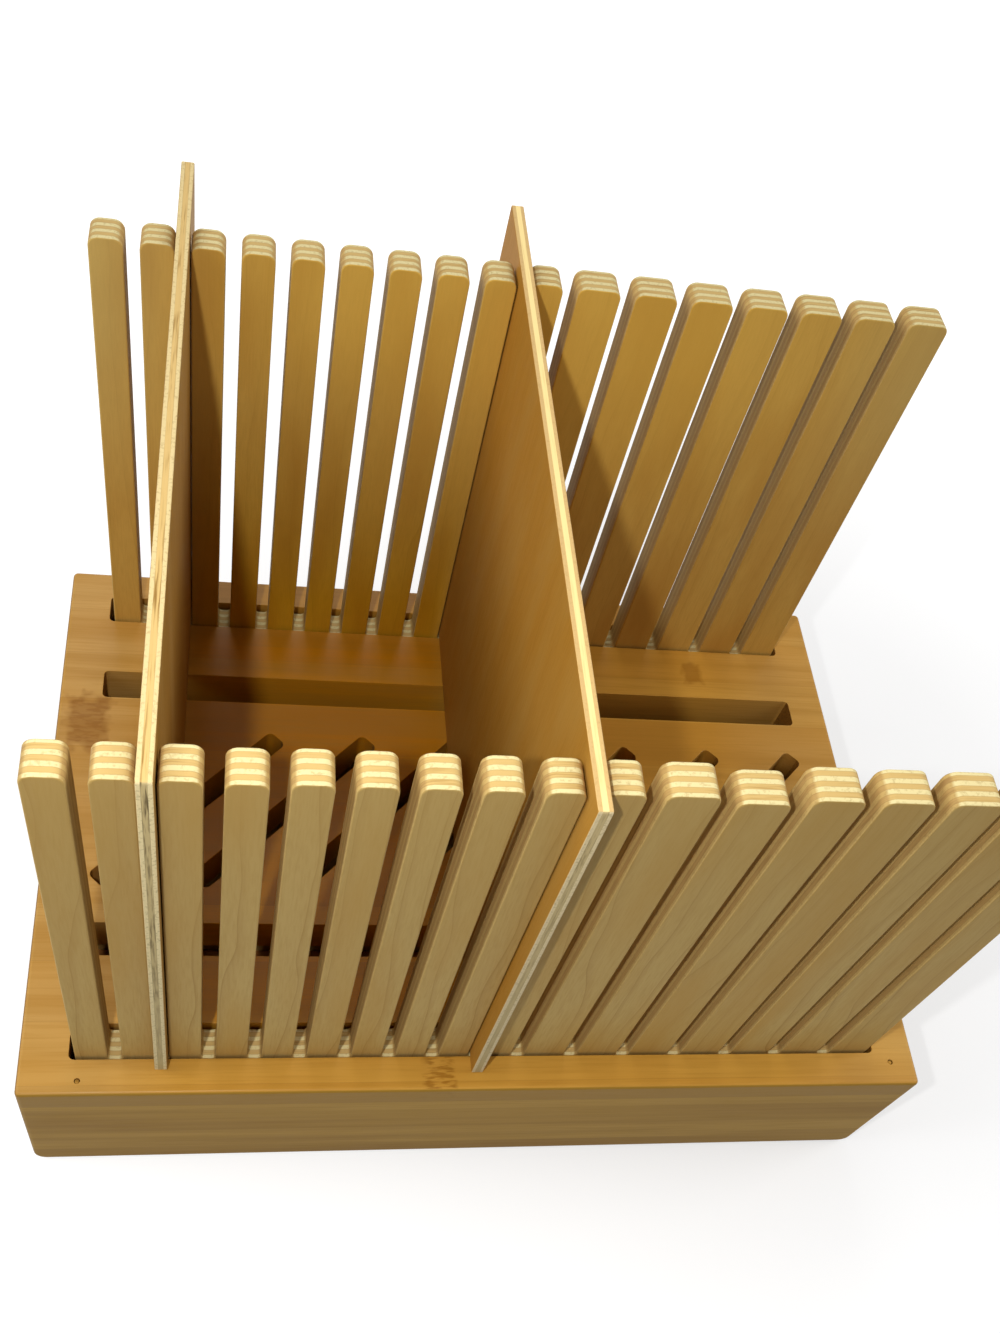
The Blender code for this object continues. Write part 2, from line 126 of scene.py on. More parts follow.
# Tones of sawn edges: long grain plies, crossed plies, their glue, and how flecked they are.
COMB_TOPS = ("DECE96", "CAAA6A", "967034", 0.4)
BACK_COMB_TOPS = ("CEC08C", "BC9E63", "8E6A34", 0.4)
COMB_SIDES = ("C0A264", "B6945A", "947244", 0.5)
LEFT_DIVIDER_TOP = ("D6C08A", "CFAE6E", "866228", 0.8)
LEFT_DIVIDER_FRONT = ("D6C494", "B6A272", "524428", 0.9)
RIGHT_DIVIDER_TOP = ("CCAA70", "F0D692", "B08A4C", 0.2)
RIGHT_DIVIDER_FRONT = ("CCBA90", "B4A072", "70603C", 0.6)

# Tones that stand alone: faded deck, knuckles, pores in cut ends, and the combs' tips: painted light on the
# back comb's and painted shade on the front comb's.
FADED_TONE = "BE985A"
KNUCKLE_TONE = "84520A"
PORE_TONE = "5A3614"
WARM_TIP_LIGHT = "E6B84C"
PALE_TIP_LIGHT = "C7B06C"
TIP_SHADE_TONE = "9A7E44"
# Painted shade multiplies the wood's own colour: darker and warmer in the bay between the dividers and at
# the back comb's foot.
DECK_BAY_SHADE = "FBE258"
COMB_FOOT_SHADE = "FFF074"

# Glue lines of the plies, as shares of the thickness.
COMB_SEAMS = (0.125, 0.275, 0.425, 0.575, 0.725, 0.875)
DIVIDER_SEAMS = (0.3, 0.7)

# Marks on the deck, in millimetres from its middle: where each begins and where it is full. The
# left end, -1, has faded more than the right one. The painted shade of the bay lies around its
# own middle in X, between the dividers, and reaches from comb to comb.
FADED_ENDS = (88, 112)
FADED_SHARES = ((-1, 0.65), (1, 0.35))
BAY_SHADE_X = -49
BAY_SHADE_SIDES = (48, 38)
BAY_SHADE_ROWS = (76, 68)
# On the back comb, counted up from the deck or out from its middle: painted shade at the
# foot, and painted light at the tips.
FOOT_SHADE = (95, 15)
LIT_BACK_TIPS = (50, 120)
WARM_FINGERS = (110, 50)
PALE_FINGERS = (85, 120)
# On the front comb, counted up from the worktop: painted shade that darkens the tips.
TIP_SHADE_HEIGHTS = (80, 190)
# Faces further out than this are the base's outer edge faces.
OUTER_FACE_Y = 91.5


def deselect():
    if bpy.context.mode != "OBJECT":
        bpy.ops.object.mode_set(mode="OBJECT")
    bpy.ops.object.select_all(action="DESELECT")


def activate(item):
    deselect()
    item.select_set(True)
    bpy.context.view_layer.objects.active = item


def add_block(name, low, high):
    """A board of the given lowest and highest corners, with its place in its mesh."""
    deselect()
    middle = [(a + b) / 2 for a, b in zip(low, high)]
    size = [b - a for a, b in zip(low, high)]
    bpy.ops.mesh.primitive_cube_add(size=1, location=middle, scale=size)
    item = bpy.context.object
    item.name = name
    item.data.name = name
    bpy.ops.object.transform_apply(location=True, rotation=True, scale=True)
    return item


def choose(item, kind, wanted):
    """Enters edit mode and selects the edges or faces that the function wanted accepts."""
    activate(item)
    bpy.ops.object.mode_set(mode="EDIT")
    bpy.ops.mesh.select_mode(type=kind)
    bpy.ops.mesh.select_all(action="DESELECT")
    shape = bmesh.from_edit_mesh(item.data)
    for part in shape.edges if kind == "EDGE" else shape.faces:
        part.select_set(bool(wanted(part)))
    shape.select_flush_mode()
    bmesh.update_edit_mesh(item.data)


def leave_edit():
    bpy.ops.object.mode_set(mode="OBJECT")


def close_to(value, target):
    return abs(value - target) < CLOSE


def edge_along(edge, axis):
    """True for an edge that runs along the axis: 0 for X, 1 for Y, 2 for Z."""
    run = edge.verts[1].co - edge.verts[0].co
    return abs(run[axis]) > 0.99 * run.length


def edge_at(edge, axis, value):
    return all(close_to(vert.co[axis], value) for vert in edge.verts)


def round_chosen(item, radius, segments, wanted):
    choose(item, "EDGE", wanted)
    bpy.ops.mesh.bevel(offset=radius, segments=segments, profile=0.5, affect="EDGES")
    leave_edit()


def combine(item, other, operation):
    """Joins the other shape to the item or cuts it out of it, and removes the other."""
    activate(item)
    change = item.modifiers.new("combine", "BOOLEAN")
    change.operation = operation
    change.solver = "EXACT"
    change.object = other
    bpy.ops.object.modifier_apply(modifier=change.name)
    bpy.data.objects.remove(other)


def ease(item, width):
    """Softens every sharp edge, as sanding does, and shades the board smooth with flat faces."""
    activate(item)
    bpy.ops.object.shade_smooth()
    bevel = item.modifiers.new("eased edges", "BEVEL")
    bevel.limit_method = "ANGLE"
    bevel.angle_limit = SHARP_ANGLE
    bevel.width = width
    bevel.segments = 2
    bevel.use_clamp_overlap = True
    bevel.harden_normals = True
    bpy.ops.object.modifier_apply(modifier=bevel.name)


def smooth(item):
    """Shades rounded edges smooth and keeps the flat faces flat."""
    activate(item)
    bpy.ops.object.shade_smooth_by_angle(angle=SHARP_ANGLE)
    weighted = item.modifiers.new("flat faces", "WEIGHTED_NORMAL")
    weighted.keep_sharp = True
    bpy.ops.object.modifier_apply(modifier=weighted.name)


def copy_of(item, name):
    copy = item.copy()
    copy.data = item.data.copy()
    copy.name = name
    copy.data.name = name
    bpy.context.scene.collection.objects.link(copy)
    return copy


def put(item, location, rotation=(0, 0, 0)):
    """Places the item and moves its place into its mesh."""
    activate(item)
    item.location = location
    item.rotation_euler = rotation
    bpy.ops.object.transform_apply(location=True, rotation=True, scale=True)


def finger_spans():
    """Left and right side of each finger in X, from the comb's left end to its right."""
    narrow = NARROW_FINGERS * NARROW_PITCH
    length = narrow + WIDE_FINGERS * WIDE_PITCH - KNIFE_GAP
    lefts = [index * NARROW_PITCH for index in range(NARROW_FINGERS)]
    lefts += [narrow + index * WIDE_PITCH for index in range(WIDE_FINGERS)]
    spans = []
    for index, left in enumerate(lefts):
        pitch = NARROW_PITCH if index < NARROW_FINGERS else WIDE_PITCH
        spans.append((left - length / 2, left + pitch - KNIFE_GAP - length / 2))
    return spans


def comb_blank(thickness, saddle, tip):
    """A comb upright at the origin, its foot at Z 0: a spine with the fingers drawn up out of it."""
    spans = finger_spans()
    low = (spans[0][0], -thickness / 2, 0)
    high = (spans[-1][1], thickness / 2, saddle)
    comb = add_block("comb_blank", low, high)
    activate(comb)
    bpy.ops.object.mode_set(mode="EDIT")
    cuts = sorted(side for span in spans for side in span)[1:-1]
    for x in cuts:
        bpy.ops.mesh.select_all(action="SELECT")
        bpy.ops.mesh.bisect(plane_co=(x, 0, 0), plane_no=(1, 0, 0))
    leave_edit()

    def under_finger(face):
        x = face.calc_center_median().x
        return face.normal.z > 0.9 and any(left < x < right for left, right in spans)

    choose(comb, "FACE", under_finger)
    bpy.ops.mesh.extrude_region_move(TRANSFORM_OT_translate={"value": (0, 0, tip - saddle)})
    leave_edit()

    round_chosen(
        comb,
        FINGER_CORNER_RADIUS,
        segments=6,
        wanted=lambda edge: edge_along(edge, 1) and edge_at(edge, 2, tip),
    )
    round_chosen(
        comb,
        SADDLE_RADIUS,
        segments=4,
        wanted=lambda edge: edge_along(edge, 1)
        and edge_at(edge, 2, saddle)
        and any(close_to(edge.verts[0].co.x, x) for x in cuts),
    )
    return comb


def shorten_finger(comb, number, short):
    """Lowers one finger's tip, as the saw left it. The comb stands with its foot at Z 0."""
    left, right = finger_spans()[number - 1]
    tip = max(vert.co.z for vert in comb.data.vertices)

    def at_tip(face):
        middle = face.calc_center_median()
        return left < middle.x < right and middle.z > tip - FINGER_CORNER_RADIUS - EASED

    choose(comb, "FACE", at_tip)
    bpy.ops.transform.translate(value=(0, 0, -short))
    leave_edit()


def add_combs():
    front_low, front_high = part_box("front_comb")
    thickness = front_high[1] - front_low[1]
    deck_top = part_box("deck_board")[1][2]
    foot = front_low[2]
    saddle = deck_top - SADDLE_DEPTH - foot
    blank = comb_blank(thickness, saddle, front_high[2] - foot)
    ease(blank, EASED)

    front = copy_of(blank, "front_comb_board")
    for number, short in SHORT_FINGERS:
        shorten_finger(front, number, short)
    put(front, (0, (front_low[1] + front_high[1]) / 2, foot))

    back = copy_of(blank, "back_comb_board")
    slot_y = SLOT_YS[-1]
    tipped_foot = foot + thickness / 2 * math.sin(BACK_COMB_LEAN)
    back_y = slot_y - (deck_top - tipped_foot) * math.tan(BACK_COMB_LEAN)
    put(back, (0, back_y, tipped_foot), (-BACK_COMB_LEAN, 0, 0))
    bpy.data.objects.remove(blank)
    return front, back


def add_dividers():
    low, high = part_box("right_divider")
    right = add_block("right_divider_board", low, high)
    round_chosen(
        right,
        DIVIDER_CORNER_RADIUS,
        segments=4,
        wanted=lambda edge: edge_along(edge, 0) and edge_at(edge, 2, high[2]),
    )
    ease(right, EASED_INSIDE)

    left = copy_of(right, "left_divider_board")
    turn = Matrix.Rotation(-LEFT_DIVIDER_TILT, 3, "X")
    rim = Vector((0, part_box("deck_board")[1][1], low[2]))
    shift = Vector((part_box("left_divider")[0][0] - low[0], LEFT_DIVIDER_SHIFT, 0))
    put(left, rim + turn @ (shift - rim), (-LEFT_DIVIDER_TILT, 0, 0))
    return left, right


def slot_cutter(length, width, radius, low, high):
    cutter = add_block(
        "slot_cutter",
        (-length / 2, -width / 2, low - OVERRUN),
        (length / 2, width / 2, high + OVERRUN),
    )
    round_chosen(cutter, radius, segments=4, wanted=lambda edge: edge_along(edge, 2))
    return cutter


def add_deck():
    low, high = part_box("deck_board")
    deck = add_block("deck_panel", low, high)
    round_chosen(deck, DECK_CORNER_RADIUS, segments=5, wanted=lambda edge: edge_along(edge, 2))
    round_chosen(deck, DECK_TOP_RADIUS, segments=5, wanted=lambda edge: edge_at(edge, 2, high[2]))
    field_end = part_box("right_end_wall")[0][0] - FIELD_PLAY
    field_foot = low[2] - FIELD_DEPTH
    field = add_block(
        "deck_field",
        (-field_end, -FIELD_HALF_WIDTH, field_foot),
        (field_end, FIELD_HALF_WIDTH, low[2] + OVERRUN),
    )
    combine(deck, field, "UNION")
    comb_slot = slot_cutter(SLOT_LENGTH, SLOT_WIDTH, SLOT_RADIUS, field_foot, high[2])
    for y in SLOT_YS:
        cutter = copy_of(comb_slot, "comb_slot_cutter")
        put(cutter, (0, y, 0))
        combine(deck, cutter, "DIFFERENCE")
    crumb_slot = slot_cutter(
        CRUMB_SLOT_LENGTH, CRUMB_SLOT_WIDTH, CRUMB_SLOT_RADIUS, field_foot, high[2]
    )
    for index in range(CRUMB_SLOTS):
        cutter = copy_of(crumb_slot, "crumb_slot_cutter")
        x = CRUMB_SLOT_FIRST_X + index * CRUMB_SLOT_PITCH
        put(cutter, (x, 0, 0), (0, 0, math.radians(45)))
        combine(deck, cutter, "DIFFERENCE")
    for cutter in (comb_slot, crumb_slot):
        bpy.data.objects.remove(cutter)
    round_chosen(
        deck,
        SLOT_EASED,
        segments=2,
        wanted=lambda edge: edge_at(edge, 2, high[2]) and edge.calc_face_angle(0) > SHARP_ANGLE,
    )
    for side in ("left", "right"):
        pin_low, pin_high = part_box(f"deck_pin_{side}")
        deselect()
        bpy.ops.mesh.primitive_cylinder_add(
            vertices=24,
            radius=BRAD_RADIUS + PIN_HOLE_PLAY,
            depth=4 * (high[2] - low[2]),
            location=((pin_low[0] + pin_high[0]) / 2, (pin_low[1] + pin_high[1]) / 2, high[2]),
        )
        combine(deck, bpy.context.object, "DIFFERENCE")
    smooth(deck)
    return deck


def add_long_wall(name, node, outside):
    """A full-length wall with its lower corners sawn round and its outer edge eased all along.

    Outside is -1 at the front and 1 at the back.
    """
    low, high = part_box(node)
    top = high[2] + GLUE_REACH
    wall = add_block(name, low, (*high[:2], top))
    outer = low[1] if outside < 0 else high[1]
    round_chosen(
        wall,
        FOOT_RADIUS,
        segments=8,
        wanted=lambda edge: edge_along(edge, 1) and edge_at(edge, 2, low[2]),
    )
    round_chosen(
        wall,
        DECK_CORNER_RADIUS,
        segments=5,
        wanted=lambda edge: edge_at(edge, 1, outer) and not edge_at(edge, 2, top),
    )
    smooth(wall)
    return wall


def add_end_wall(name, node, outside):
    """A wall between the long ones, with its outer foot sawn round.

    Outside is -1 at the left and 1 at the right.
    """
    low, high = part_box(node)
    wall = add_block(name, low, (*high[:2], high[2] + GLUE_REACH))
    outer = low[0] if outside < 0 else high[0]
    round_chosen(
        wall,
        FOOT_RADIUS,
        segments=8,
        wanted=lambda edge: edge_at(edge, 2, low[2]) and edge_at(edge, 0, outer),
    )
    smooth(wall)
    return wall


def add_opening_wall():
    """The right end wall, with the opening that the drawer runs through."""
    wall = add_end_wall("right_end_board", "right_end_wall", 1)
    low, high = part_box("right_end_wall")
    drawer_low, drawer_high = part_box("drawer_front")
    floor_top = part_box("bottom_board")[1][2]
    cutter = add_block(
        "opening_cutter",
        (low[0] - OVERRUN, drawer_low[1] - DRAWER_PLAY, floor_top),
        (high[0] + OVERRUN, drawer_high[1] + DRAWER_PLAY, drawer_high[2] + DRAWER_PLAY),
    )
    combine(wall, cutter, "DIFFERENCE")
    round_chosen(
        wall,
        EASED_INSIDE,
        segments=2,
        wanted=lambda edge: edge_at(edge, 0, high[0])
        and all(
            drawer_low[1] - OVERRUN < vert.co.y < drawer_high[1] + OVERRUN
            and floor_top - CLOSE < vert.co.z < drawer_high[2] + OVERRUN
            for vert in edge.verts
        ),
    )
    smooth(wall)
    return wall


def add_drawer_front():
    """The drawer's front, with a round notch in its top edge for a fingertip."""
    low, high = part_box("drawer_front")
    front = add_block("drawer_face_board", low, high)
    deselect()
    bpy.ops.mesh.primitive_cylinder_add(
        vertices=64,
        radius=DRAWER_NOTCH_RADIUS,
        depth=high[0] - low[0] + 2 * OVERRUN,
        location=((low[0] + high[0]) / 2, 0, high[2]),
        rotation=(0, math.pi / 2, 0),
    )
    combine(front, bpy.context.object, "DIFFERENCE")
    ease(front, EASED)
    return front


def add_pin(name, node):
    """A headless brad: a round shank with a slightly domed top."""
    low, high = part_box(node)
    deselect()
    bpy.ops.mesh.primitive_cylinder_add(
        vertices=24,
        radius=BRAD_RADIUS,
        depth=high[2] - low[2],
        location=[(a + b) / 2 for a, b in zip(low, high)],
    )
    pin = bpy.context.object
    pin.name = name
    pin.data.name = name
    bpy.ops.object.transform_apply(location=True, rotation=True, scale=True)
    round_chosen(pin, BRAD_RADIUS * 0.4, segments=3, wanted=lambda edge: edge_at(edge, 2, high[2]))
    ease(pin, BRAD_RADIUS * 0.1)
    return pin


def add_inside_board(name, node):
    low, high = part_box(node)
    board = add_block(name, low, high)
    ease(board, EASED_INSIDE)
    return board


def linear(code):
    """The linear colour of an sRGB hex code such as C8A060."""
    values = []
    for start in (0, 2, 4):
        share = int(code[start : start + 2], 16) / 255
        values.append(share / 12.92 if share <= 0.04045 else ((share + 0.055) / 1.055) ** 2.4)
    return (*values, 1)


def add_node(tree, kind, inputs=None, out=0, stops=None, **settings):
    """Adds a node and gives its output, or all of them when out is None.

    A socket among the inputs is linked and any other value is set. Stops fill a ramp.
    """
    made = tree.nodes.new(f"ShaderNode{kind}")
    for name, value in settings.items():
        setattr(made, name, value)
    if stops:
        ramp = made.color_ramp.elements
        while len(ramp) < len(stops):
            ramp.new(1)
        for element, (place, value) in zip(ramp, stops):
            element.position = place
            element.color = (value, value, value, 1)
    for name, value in (inputs or {}).items():
        if isinstance(value, bpy.types.NodeSocket):
            tree.links.new(value, made.inputs[name])
        else:
            made.inputs[name].default_value = value
    return made.outputs if out is None else made.outputs[out]


def new_material(name):
    material = bpy.data.materials.new(name)
    material.use_nodes = True
    tree = material.node_tree
    return material, tree, tree.nodes["Principled BSDF"]


def millimetres(tree, origin=(0, 0, 0), turn=(0, 0, 0)):
    """The place on the object in millimetres from the origin, turned with the board."""
    place = add_node(tree, "TexCoord", out="Object")
    place = add_node(tree, "VectorMath", {0: place, 1: origin}, operation="SUBTRACT")
    return add_node(tree, "Mapping", {"Vector": place, "Rotation": turn, "Scale": (1000, 1000, 1000)})


def grain(tree, place, repeats, detail):
    """Soft noise with the given repeats per millimetre along each axis, few of them along the grain."""
    spread = add_node(tree, "VectorMath", {0: place, 1: repeats}, operation="MULTIPLY")
    return add_node(tree, "TexNoise", {"Vector": spread, "Scale": 1.0, "Detail": detail})


def facing(tree, direction):
    """1 on faces that look along the direction or against it, and 0 on those that look away."""
    normal = add_node(tree, "TexCoord", out="Normal")
    look = add_node(tree, "VectorMath", {0: normal, 1: direction}, out="Value", operation="DOT_PRODUCT")
    look = add_node(tree, "Math", {0: look}, operation="ABSOLUTE")
    return add_node(tree, "MapRange", {"Value": look, "From Min": 0.55, "From Max": 0.75})


def finish(tree, shader, color, fibres, rough, shine, depth, worn=None):
    """Wood's colour, a roughness that follows its fibres, a faint sheen and relief.

    Where worn is 1, use has polished the wood.
    """
    tree.links.new(color, shader.inputs["Base Color"])
    low, high = rough
    roughness = add_node(tree, "MapRange", {"Value": fibres, "To Min": low, "To Max": high})
    if worn is not None:
        roughness = add_node(tree, "Math", {0: worn, 1: -0.2, 2: roughness}, operation="MULTIPLY_ADD")
    tree.links.new(roughness, shader.inputs["Roughness"])
    shader.inputs["IOR"].default_value = 1.5
    shader.inputs["Specular IOR Level"].default_value = shine
    relief = add_node(tree, "Bump", {"Strength": depth, "Distance": 0.0002, "Height": fibres})
    tree.links.new(relief, shader.inputs["Normal"])


def deck_fading_and_shade(tree, place, color):
    """Faded ends from years on a worktop, and painted shade: a darker, richer middle between the dividers.
    """
    axes = add_node(tree, "SeparateXYZ", {0: place}, out=None)
    for side, share in FADED_SHARES:
        begin, full = (side * x for x in FADED_ENDS)
        ends = add_node(
            tree,
            "MapRange",
            {"Value": axes[0], "From Min": begin, "From Max": full, "To Max": share},
        )
        color = add_node(
            tree, "Mix", {0: ends, 6: color, 7: linear(FADED_TONE)}, out=2, data_type="RGBA"
        )
    begin, full = BAY_SHADE_ROWS
    depth = add_node(tree, "Math", {0: axes[1]}, operation="ABSOLUTE")
    depth = add_node(tree, "MapRange", {"Value": depth, "From Min": begin, "From Max": full})
    return shaded_middle(tree, axes, color, depth, DECK_BAY_SHADE)


def shaded_middle(tree, axes, color, share, oil):
    """Painted shade: between the dividers the wood is made a darker, richer brown."""
    begin, full = BAY_SHADE_SIDES
    off = add_node(tree, "Math", {0: axes[0], 1: BAY_SHADE_X}, operation="SUBTRACT")
    off = add_node(tree, "Math", {0: off}, operation="ABSOLUTE")
    inside = add_node(tree, "MapRange", {"Value": off, "From Min": begin, "From Max": full})
    inside = add_node(tree, "Math", {0: inside, 1: share}, operation="MULTIPLY")
    return add_node(
        tree,
        "Mix",
        {0: inside, 6: color, 7: linear(oil)},
        out=2,
        data_type="RGBA",
        blend_type="MULTIPLY",
    )


def knuckle(tree, place, color, x, y, wide, deep, bars, share):
    """A knuckle of the cane: a patch where the fibres darken and bar across.

    Wide and deep are half its size in millimetres, bars how barred it is and share how dark.
    """
    gap = add_node(tree, "VectorMath", {0: place, 1: (x, y, 0)}, operation="SUBTRACT")
    waver = grain(tree, place, (0.25, 0.25, 0.25), 1.0)
    gap = add_node(tree, "VectorMath", {0: gap, 1: (1 / wide, 1 / deep, 0)}, operation="MULTIPLY")
    gap = add_node(tree, "VectorMath", {0: gap}, operation="ABSOLUTE")
    sides = add_node(tree, "SeparateXYZ", {0: gap}, out=None)
    near = add_node(tree, "Math", {0: sides[0], 1: sides[1]}, operation="MAXIMUM")
    near = add_node(tree, "Math", {0: waver, 1: 1.2, 2: near}, operation="MULTIPLY_ADD")
    near = add_node(tree, "MapRange", {"Value": near, "From Min": 1.8, "From Max": 1.35, "To Max": share})
    barred = grain(tree, place, (0.22, 0.9, 0.3), 2.0)
    barred = add_node(
        tree, "MapRange", {"Value": barred, "From Min": 0.44, "From Max": 0.58, "To Min": 1 - bars}
    )
    near = add_node(tree, "Math", {0: near, 1: barred}, operation="MULTIPLY")
    return add_node(tree, "Mix", {0: near, 6: color, 7: linear(KNUCKLE_TONE)}, out=2, data_type="RGBA")


def bamboo(
    name, tones, start, turned=False, stacked=False, strip=20.0, streaks=0.45, shine=0.15, deck=False
):
    """Pressed bamboo: strips glued side by side, planed, sanded and oiled.

    To the eye: each strip has its own tone and long soft fibres, the joints hardly show, and cut
    ends are dark and dotted. A strip is that many millimetres wide, and start picks the strips'
    tones. Turned boards run along Y, and stacked ones count their strips upwards.
    """
    light, middle, dark, edge, end = (linear(tone) for tone in tones)
    material, tree, shader = new_material(name)
    place = millimetres(tree, turn=(0, 0, math.pi / 2 if turned else 0))
    axes = add_node(tree, "SeparateXYZ", {0: place}, out=None)
    strips = add_node(
        tree, "Math", {0: axes[2 if stacked else 1], 1: 1 / strip, 2: start}, operation="MULTIPLY_ADD"
    )
    number = add_node(tree, "Math", {0: strips}, operation="FLOOR")
    tone = add_node(tree, "TexWhiteNoise", {"W": number}, out="Value", noise_dimensions="1D")
    own = add_node(tree, "VectorMath", {0: tone, 1: (400, 60, 60), 2: place}, operation="MULTIPLY_ADD")

    fibres = grain(tree, own, (0.05, 1.5, 1.5), 3.0)
    bands = grain(tree, own, (0.006, 0.17, 0.17), 2.0)
    clouds = grain(tree, own, (0.02, 0.05, 0.05), 1.0)
    color = add_node(tree, "Mix", {0: tone, 6: light, 7: middle}, out=2, data_type="RGBA")
    if deck:
        color = deck_fading_and_shade(tree, place, color)
    share = add_node(
        tree, "MapRange", {"Value": bands, "From Min": 0.4, "From Max": 0.64, "To Max": streaks}
    )
    color = add_node(tree, "Mix", {0: share, 6: color, 7: dark}, out=2, data_type="RGBA")
    share = add_node(tree, "MapRange", {"Value": fibres, "From Min": 0.48, "From Max": 0.72, "To Max": 0.35})
    color = add_node(tree, "Mix", {0: share, 6: color, 7: dark}, out=2, data_type="RGBA")
    share = add_node(tree, "MapRange", {"Value": clouds, "From Min": 0.45, "From Max": 0.7, "To Max": 0.35})
    color = add_node(tree, "Mix", {0: share, 6: color, 7: middle}, out=2, data_type="RGBA")

    joint = add_node(tree, "Math", {0: strips, 1: 0.5}, operation="PINGPONG")
    share = add_node(
        tree, "MapRange", {"Value": joint, "From Max": 0.12 / strip, "To Min": 0.35, "To Max": 0.0}
    )
    color = add_node(tree, "Mix", {0: share, 6: color, 7: end}, out=2, data_type="RGBA")

    for mark in KNUCKLES if deck else ():
        color = knuckle(tree, place, color, *mark)

    # The outer edge faces of a board that lies flat are rift cut: duller, and banded along the board.
    if not stacked:
        outer = add_node(tree, "Math", {0: axes[1]}, operation="ABSOLUTE")
        outer = add_node(tree, "Math", {0: outer, 1: OUTER_FACE_Y}, operation="GREATER_THAN")
        upright = facing(tree, (1, 0, 0) if turned else (0, 1, 0))
        share = add_node(tree, "Math", {0: upright, 1: outer}, operation="MULTIPLY")
        share = add_node(tree, "Math", {0: share, 1: 0.85}, operation="MULTIPLY")
        color = add_node(tree, "Mix", {0: share, 6: color, 7: edge}, out=2, data_type="RGBA")

    dots = add_node(tree, "TexNoise", {"Vector": place, "Scale": 1.6, "Detail": 1.0})
    dots = add_node(tree, "MapRange", {"Value": dots, "From Min": 0.5, "From Max": 0.62, "To Max": 0.55})
    cut = add_node(tree, "Mix", {0: dots, 6: end, 7: linear(PORE_TONE)}, out=2, data_type="RGBA")
    share = facing(tree, (0, 1, 0) if turned else (1, 0, 0))
    share = add_node(tree, "Math", {0: share, 1: 6.0}, operation="POWER")
    color = add_node(tree, "Mix", {0: share, 6: color, 7: cut}, out=2, data_type="RGBA")
    worn = facing(tree, (0, 0, 1)) if deck else None
    finish(tree, shader, color, fibres, (0.45, 0.62), shine, 0.12, worn)
    return material


